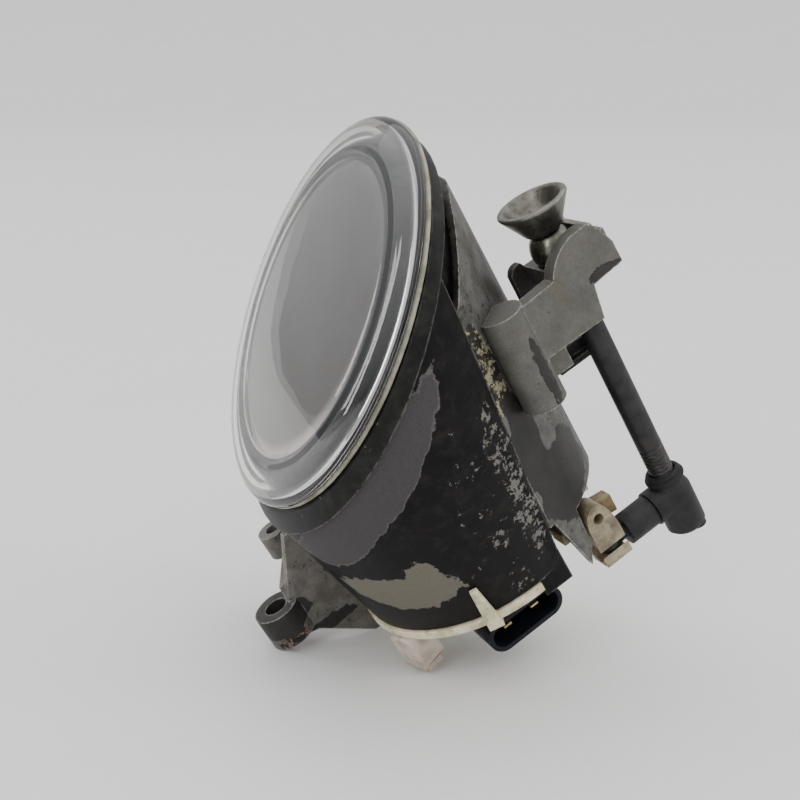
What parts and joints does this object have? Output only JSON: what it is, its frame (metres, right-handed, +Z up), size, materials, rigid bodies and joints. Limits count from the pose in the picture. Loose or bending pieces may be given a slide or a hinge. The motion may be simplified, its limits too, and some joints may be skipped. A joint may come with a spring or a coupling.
{
  "type": "fog light",
  "caption": "Round raked-lens fog lamp in a cast housing with an outside aiming screw, sliding nut, tilting reflector, rear bulb connector and screw-boss brackets.",
  "frame": {"origin": "centre of the bounding box in plan, on the bench plane that the lamp rests on", "axes": "+Z up from the bench, +X towards the aiming screw, +Y away from the side with the barrel boss; the optical axis leans 30 degrees from +Z towards -X"},
  "size_m": [0.1332, 0.1138, 0.1594],
  "materials": {
    "lens_glass": "clear pressed glass with a rolled edge and light haze",
    "seal_bead": "cured adhesive bead, cream with a green cast",
    "black_paint": "satin black paint, flaked to grey primer and bare metal",
    "worn_casting": "dark worn paint over a casting, bare on its edges",
    "grey_casting": "bare die casting, dull grey, with remains of dark paint",
    "spring_steel": "dull spring steel",
    "dull_steel": "dull plated steel, turned",
    "dark_steel": "dark phosphated steel",
    "black_nylon": "black glass-filled nylon, dusty",
    "rubber": "black rubber",
    "cream_nylon": "aged cream nylon",
    "white_nylon": "slightly translucent natural nylon",
    "tan_nylon": "stained tan nylon",
    "reflector_silver": "vacuum metallised reflector",
    "connector_plastic": "glossy near-black plastic with a blue cast",
    "brass": "plated brass blades"
  },
  "bodies": {
    "housing": {"front_lens": "lens_glass", "lens_seal": "seal_bead", "front_collar": "black_paint", "housing_shell": "black_paint", "side_skirt": "worn_casting", "barrel_bracket": "grey_casting", "cradle_far_wall": "grey_casting", "cross_bar": "worn_casting", "ball_clip": "spring_steel", "light_mask": "black_nylon", "rear_cover": "cream_nylon", "cover_seal": "rubber", "latch_block_near": "white_nylon", "latch_block_far": "white_nylon", "outboard_bracket": "worn_casting", "pivot_bush_near": "cream_nylon", "pivot_bush_far": "cream_nylon"},
    "reflector_unit": {"reflector": "reflector_silver", "reflector_carrier": "black_nylon", "pivot_pin_near": "dull_steel", "pivot_pin_far": "dull_steel", "bulb_shield": "reflector_silver", "bulb_glass": "lens_glass", "bulb_base": "black_nylon", "bulb_connector": "connector_plastic", "connector_pin_1": "brass", "connector_pin_2": "brass", "socket_clip": "cream_nylon", "aim_lever": "tan_nylon"},
    "aiming_screw": {"screw_cup": "dull_steel", "screw_ball": "dull_steel", "screw_rod": "dark_steel"},
    "nut_carriage": {"nut_housing": "black_nylon", "nut_boot": "rubber", "nut_arm": "black_nylon"}
  },
  "joints": [
    {"name": "screw_spin", "type": "hinge", "parent": "housing", "child": "aiming_screw", "pos_m": [0.01096, -0.028, 0.12581], "axis": [-0.5, 0, 0.866], "range_deg": [-500, 500]},
    {"name": "nut_travel", "type": "slide", "parent": "housing", "child": "nut_carriage", "axis": [-0.5, 0, 0.866], "range_m": [-0.0018, 0.0018]},
    {"name": "reflector_tilt", "type": "hinge", "parent": "housing", "child": "reflector_unit", "pos_m": [-0.00028, 0, 0.03907], "axis": [0, 1, 0], "range_deg": [-3.55, 3.55]}
  ],
  "couplings": [
    {"joint": "nut_travel", "follows": "screw_spin", "m_per_rad": -0.00019894},
    {"joint": "reflector_tilt", "follows": "screw_spin", "ratio": 0.0070798}
  ]
}
